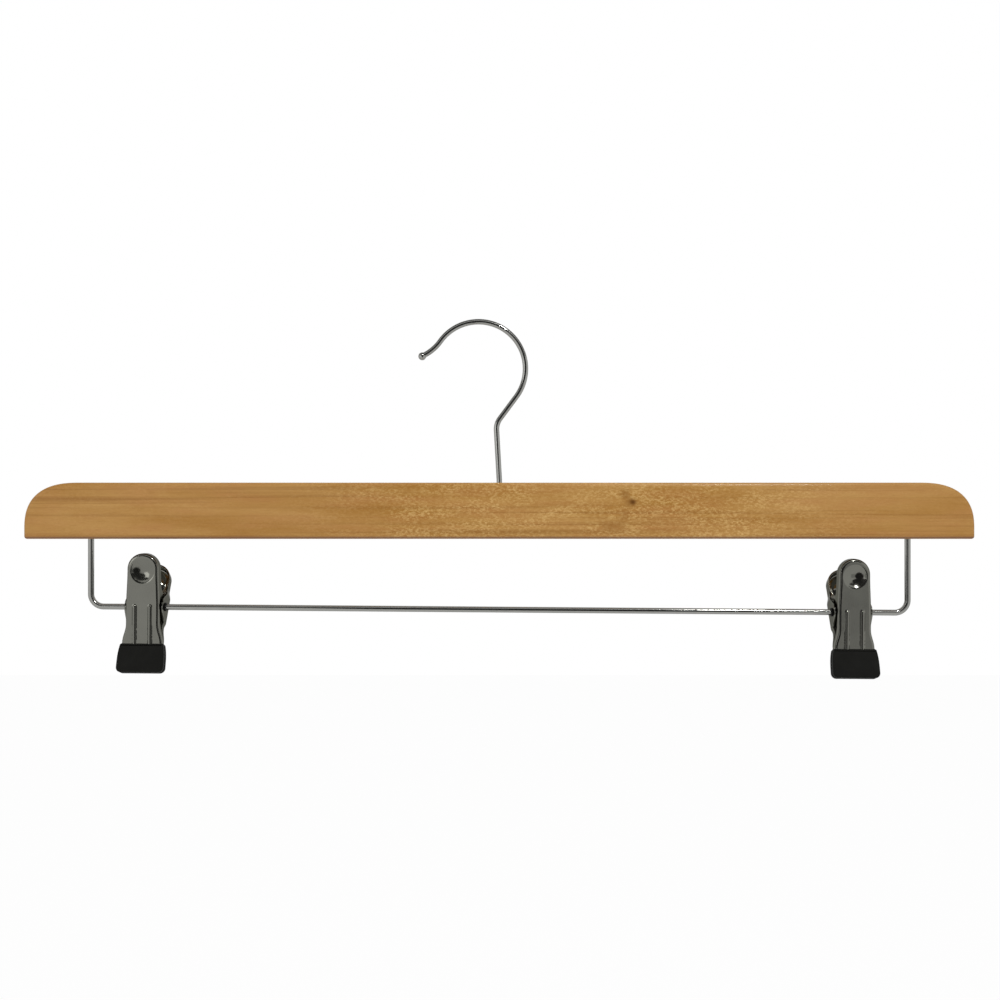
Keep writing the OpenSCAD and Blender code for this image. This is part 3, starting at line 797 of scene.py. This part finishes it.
def boot_outline(settings):
    """Closed outline of a boot, whose sides swell gently below the mouth."""
    half, long = settings.width / 2, settings.boot_length
    mouth, toe, lip = settings.mouth / 2, settings.toe, 0.5
    side = [
        (half - toe * (1 - math.cos(a)), toe * (1 + math.sin(a)) - long)
        for a in np.radians(np.linspace(-90, 0, 13))
    ]
    for t in np.linspace(0, 1, 15)[1:]:
        z = toe - long + (long - toe - lip) * t
        swell = 1 - t ** 3.0
        side.append((mouth + (half - mouth) * swell, z))
    turns = np.radians([22, 45, 68, 90])
    side += [(mouth - lip * (1 - math.cos(a)), -lip + lip * math.sin(a)) for a in turns]
    return side + [(-x, z) for x, z in reversed(side)]


def spring_path(clip, boot):
    """Path of a spring in the clip's frame: down its rear arm, round its curls and up its front arm."""
    lean = math.radians(clip.lean)
    tip = (clip.sheet - clip.face_out + boot.spring_wire / 2 + boot.arm_gap, boot.arm_up)
    reach = math.hypot(*tip)
    touch = math.atan2(tip[1], tip[0]) + math.acos(boot.curl / reach)
    start = math.pi - (touch + lean)
    turn = 2 * math.pi * boot.curls + math.pi + 2 * start
    half = turn / (2 * math.pi) * boot.curl_step / 2
    y = tip[0] * math.cos(lean) - tip[1] * math.sin(lean)
    z = tip[0] * math.sin(lean) + tip[1] * math.cos(lean)
    count = int(turn / math.radians(10))
    curls = []
    for i in range(count + 1):
        t = i / count
        a = start - t * turn
        curls.append(np.array([half * (2 * t - 1), boot.curl * math.cos(a), boot.curl * math.sin(a)]))
    rear, front = np.array([-half, -y, z]), np.array([half, y, z])
    down = [rear + (curls[0] - rear) * t for t in np.linspace(0, 1, 12, endpoint=False)]
    up = [curls[-1] + (front - curls[-1]) * t for t in np.linspace(0, 1, 12)[1:]]
    return down + curls + up


# Operators


class HANGER_OT_wooden_bar(Operator):
    """Make the varnished wooden bar, with the holes for the hook and the clip bar"""

    bl_idname = "hanger.wooden_bar"
    bl_label = "Wooden bar"

    def execute(self, context):
        settings, wire = context.scene.hanger_wood, context.scene.hanger_wire
        middle, underside = wood_place()
        place = Matrix.Translation((middle, 0, underside))
        rings = edge_rings(settings.thickness, settings.edge)
        points, faces = slab(wood_outline(settings), rings, wood_inset(settings))
        bar = make_object("varnished_bar", points, faces, place)
        holes = bmesh.new()
        # The play of the wires in their holes, and how far a cut runs past the wood's surface
        hook_play, leg_play, end_play, past = 0.06, 0.03, 0.1, 1.0
        leg, leg_hole = wire.leg_gap / 2, wire.bar_wire / 2 + leg_play
        for x, radius, low, high in (
            (0.0, wire.hook_wire / 2 + hook_play, -past, settings.height + past),
            (0.0, settings.pocket_width / 2, -past - 0.2, settings.pocket_depth),
            (-leg, leg_hole, -past, wire.leg_in + end_play),
            (leg, leg_hole, -past, wire.leg_in + end_play),
        ):
            centre = Vector((middle + x, 0, underside + (low + high) / 2)) * MM
            bmesh.ops.create_cone(
                holes, cap_ends=True, segments=48, radius1=radius * MM, radius2=radius * MM,
                depth=(high - low) * MM, matrix=Matrix.Translation(centre),
            )
        cutter_mesh = bpy.data.meshes.new("holes")
        holes.to_mesh(cutter_mesh)
        holes.free()
        cutter = bpy.data.objects.new("holes", cutter_mesh)
        context.scene.collection.objects.link(cutter)
        cut(bar, cutter)
        wood = material_of(varnished_wood, "varnished_wood", settings, middle, underside)
        finish_piece(bar, wood, "bar", ["wooden_bar"])
        return {"FINISHED"}


class HANGER_OT_hook(Operator):
    """Make the bent hook with its ball and its head under the wood"""

    bl_idname = "hanger.hook"
    bl_label = "Hook"

    def execute(self, context):
        s, wood = context.scene.hanger_wire, context.scene.hanger_wood
        middle, underside = wood_place()
        r = s.hook_wire / 2
        path = walk([
            (wood.height - s.head_low + s.upright, 0), (s.lean_radius, -s.shank_lean), (s.shank, 0),
            (s.throat_radius, s.shank_lean + s.throat_slope), (s.throat, 0),
            (s.bow_radius, -s.bow_turn), (s.tip_radius, s.tip_turn), (s.tip, 0),
        ])
        radii = [r] * len(path)
        # The upset head at the lower end, with a short cone up to the wire, which enters the washer
        head, chamfer, cone = s.head_width / 2, 0.25, 0.2
        heights = (0.0, chamfer, s.head_height - chamfer, s.head_height, s.head_height + cone)
        path = [(0.0, 0.0, z) for z in heights] + path[1:]
        radii = [head - chamfer, head, head, head - chamfer, r] + radii[1:]
        # The ball at the tip
        end, before = np.array(path[-1]), np.array(path[-2])
        ahead = (end - before) / np.linalg.norm(end - before)
        ball = s.ball / 2
        neck = math.asin(r / ball)
        path.pop()
        radii.pop()
        for a in np.linspace(neck, math.radians(176), 20):
            path.append(tuple(end - ahead * ball * math.cos(a)))
            radii.append(ball * math.sin(a))
        points, faces = sweep(path, radii, 32, (0, 1, 0))
        place = Matrix.Translation((middle, 0, underside + s.head_low))
        hook = make_object("wire_hook", points, faces, place)
        finish_piece(hook, chrome_wire(), "hook", ["hook"])
        dress_node("hook_washer", chrome_wire())
        return {"FINISHED"}


class HANGER_OT_clip_bar(Operator):
    """Make the bent wire bar that carries the clips"""

    bl_idname = "hanger.clip_bar"
    bl_label = "Clip bar"

    def execute(self, context):
        s = context.scene.hanger_wire
        middle, underside = wood_place()
        tilt = math.degrees(bar_tilt())
        left = s.bend * math.tan(math.radians(90 - tilt) / 2)
        right = s.bend * math.tan(math.radians(90 + tilt) / 2)
        path = walk([
            (s.leg_in + s.drop_left - left, 0), (s.bend, tilt - 90),
            (s.leg_gap / math.cos(math.radians(tilt)) - left - right, 0), (s.bend, -tilt - 90),
            (s.leg_in + s.drop_right - right, 0),
        ], fine=4.0)
        points, faces = sweep(path, [s.bar_wire / 2] * len(path), 32, (0, 1, 0))
        leg_end = Matrix.Translation((middle - s.leg_gap / 2, 0, underside + s.leg_in))
        place = leg_end @ Matrix.Rotation(math.pi, 4, "Y")
        bar = make_object("clip_wire", points, faces, place)
        finish_piece(bar, chrome_wire(), "bar", ["clip_bar"])
        return {"FINISHED"}


class HANGER_OT_jaws(Operator):
    """Make the pressed front and rear jaws of both clips"""

    bl_idname = "hanger.jaws"
    bl_label = "Jaws"

    def execute(self, context):
        settings = context.scene.hanger_clip
        for side in SIDES:
            for part in ("front", "rear"):
                rear = part == "rear"
                points, faces = jaw_mesh(settings, rear)
                jaw = make_object(f"{side}_{part}_plate", points, faces, jaw_place(side, rear))
                points, faces = tongue_mesh(settings)
                tongue = make_object("tongue", points, faces, bend_place(side, rear))
                join(jaw, tongue)
                finish_piece(jaw, chrome_sheet(), f"{side}_{part}", [f"{side}_{part}_jaw"])
        return {"FINISHED"}


class HANGER_OT_boots(Operator):
    """Make the four moulded rubber boots"""

    bl_idname = "hanger.boots"
    bl_label = "Boots"

    def execute(self, context):
        settings, clip = context.scene.hanger_boot, context.scene.hanger_clip
        rubber = material_of(moulded, "moulded_rubber", settings.rubber, rough=0.55, grit=0.2)
        lean = math.radians(clip.lean)
        face = (clip.face_out - clip.sheet) * math.cos(lean) - clip.bend_drop * math.sin(lean)
        inside = face - settings.shut_gap
        thick = inside + clip.sheet + settings.outside
        rings = [(by, y + inside - thick / 2) for by, y in edge_rings(thick, settings.edge, steps=6)]
        for side in SIDES:
            for part in ("front", "rear"):
                points, faces = slab(boot_outline(settings), rings, along_normals)
                place = bend_place(side, part == "rear") @ Matrix.Translation((0, 0, -settings.start))
                boot = make_object(f"{side}_{part}_rubber", points, faces, place)
                finish_piece(boot, rubber, f"{side}_{part}", [f"{side}_{part}_boot"])
        return {"FINISHED"}


class HANGER_OT_springs(Operator):
    """Make the two torsion springs, and give the sleeves their finish"""

    bl_idname = "hanger.springs"
    bl_label = "Springs and sleeves"

    def execute(self, context):
        settings, clip = context.scene.hanger_boot, context.scene.hanger_clip
        steel = material_of(plated, "spring_steel", settings.spring, rough=0.28, scratch=0.3, wavy=0.0)
        dark = material_of(moulded, "dark_sleeve", settings.sleeve, rough=0.5, grit=0.15)
        r, blunt = settings.spring_wire / 2, 0.7
        for side in SIDES:
            path = spring_path(clip, settings)
            radii = [r] * len(path)
            radii[0] = radii[-1] = r * blunt
            points, faces = sweep(path, radii, 16, (1, 0, 0))
            place = clip_place(side)
            spring = make_object(f"{side}_torsion_spring", points, faces, place)
            finish_piece(spring, steel, None, [f"{side}_spring"])
            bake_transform(spring)
            dress_node(f"{side}_sleeve", dark)
        return {"FINISHED"}


def corners_of(place, low, high, near, far):
    """The corners of a rectangle, in the plane that place gives."""
    return [place(low, near), place(high, near), place(high, far), place(low, far)]


def flags(settings, middle):
    """Name, brightness and corners in millimetres of the flags that only reflections show.

    They are an oval one behind the camera and one above it, two that roof the object with a slot for
    the key lamp, one upright between the clips, and a grey card at the right.
    """
    back, roof, half = -settings.distance - 20, settings.roof, 700.0
    slot_front, slot_back, roof_back = -330, -150, 60

    def oval(x, z, half_x, half_z):
        return [
            (middle + x + half_x * math.cos(a), back, z + half_z * math.sin(a))
            for a in np.radians(np.arange(0, 360, 10))
        ]

    def level(front, rear):
        return corners_of(lambda x, y: (x, y, roof), -half, half, front, rear)

    return (
        ("camera_flag", 0.05, oval(55, -190, 235, 210)),
        ("front_flag", 0.06, oval(0, 150, 520, 220)),
        ("near_flag", 0.06, level(back, slot_front)),
        ("roof_flag", 0.06, level(slot_back, roof_back)),
        ("middle_flag", 0.25, corners_of(lambda y, z: (middle, y, z), -200, -60, -260, -60)),
        ("right_card", 0.66, corners_of(lambda x, z: (x, back, z), 300, 560, -300, -90)),
    )


class HANGER_OT_stage(Operator):
    """Make the camera, the lamps, the white surroundings and the floor"""

    bl_idname = "hanger.stage"
    bl_label = "Stage"

    def execute(self, context):
        scene, settings = context.scene, context.scene.hanger_stage
        middle, underside = wood_place()
        camera = bpy.data.objects.new("camera", bpy.data.cameras.new("camera"))
        scene.collection.objects.link(camera)
        camera.location = Vector((
            middle + settings.camera_x, -settings.distance, underside + settings.camera_z
        )) * MM
        camera.rotation_euler = (math.pi / 2, 0, 0)
        camera.data.sensor_width = 36
        camera.data.lens = settings.lens
        camera.data.clip_start = 0.01
        scene.camera = camera

        target = Vector((middle, 0, underside)) * MM
        # Each lamp's place and width in metres
        for name, place, size, power in (
            ("key", (0.40, -0.75, 0.80), 0.16, settings.key),
            ("fill", (-0.9, -1.1, 0.35), 0.9, settings.fill),
        ):
            lamp = bpy.data.objects.new(name, bpy.data.lights.new(name, "AREA"))
            scene.collection.objects.link(lamp)
            lamp.data.shape, lamp.data.size, lamp.data.energy = "DISK", size, power
            lamp.location = Vector(place)
            lamp.rotation_euler = (Vector(place) - target).to_track_quat("Z", "Y").to_euler()

        world = bpy.data.worlds.new("white surroundings")
        scene.world = world
        world.use_nodes = True
        tree = world.node_tree
        tree.nodes.clear()
        light, shown = (
            add(tree, "Background", {"Color": settings.paper[:], "Strength": strength})
            for strength in (settings.ambient, 1.0)
        )
        mix = add(tree, "MixShader", {0: seen_rays(tree), 1: light, 2: shown})
        add(tree, "OutputWorld", {"Surface": mix})

        scene.view_settings.view_transform = "Standard"
        half = 3000.0
        corners = corners_of(lambda x, y: (x, y, 0), -half, half, -half, half)
        drop = Matrix.Translation((0, 0, -settings.floor_drop))
        floor = make_object("floor", corners, [(0, 1, 2, 3)], drop)
        floor.data.materials.append(material_of(paper, "white_paper", settings.paper))

        for name, shade, corners in flags(settings, middle):
            flag = make_object(name, corners, [tuple(range(len(corners)))])
            flag.data.materials.append(material_of(card, name + "_card", shade))
            flag.visible_camera = flag.visible_diffuse = flag.visible_shadow = False
        return {"FINISHED"}


class HANGER_PT_pieces(Panel):
    """Buttons that make the hanger's pieces"""

    bl_idname = "HANGER_PT_pieces"
    bl_label = "Trouser hanger"
    bl_space_type = "VIEW_3D"
    bl_region_type = "UI"
    bl_category = "Hanger"

    def draw(self, context):
        for operator in OPERATORS:
            self.layout.operator(operator.bl_idname)


SETTINGS = {
    "hanger_wood": WoodSettings,
    "hanger_wire": WireSettings,
    "hanger_clip": ClipSettings,
    "hanger_boot": BootSettings,
    "hanger_stage": StageSettings,
}
OPERATORS = (
    HANGER_OT_stage, HANGER_OT_wooden_bar, HANGER_OT_hook, HANGER_OT_clip_bar, HANGER_OT_jaws,
    HANGER_OT_boots, HANGER_OT_springs,
)


def register():
    """Registers the settings, the operators and the panel."""
    for cls in (*SETTINGS.values(), *OPERATORS, HANGER_PT_pieces):
        bpy.utils.register_class(cls)
    for name, cls in SETTINGS.items():
        setattr(bpy.types.Scene, name, PointerProperty(type=cls))


def unregister():
    """Takes them out again."""
    for name in SETTINGS:
        delattr(bpy.types.Scene, name)
    for cls in (HANGER_PT_pieces, *reversed(OPERATORS), *reversed(SETTINGS.values())):
        bpy.utils.unregister_class(cls)


def main():
    register()
    for operator in OPERATORS:
        name = operator.bl_idname.split(".")[1]
        if getattr(bpy.ops.hanger, name)() != {"FINISHED"}:
            raise RuntimeError(f"{operator.bl_label} wasn't made")
    bpy.context.view_layer.update()


if __name__ == "__main__":
    main()
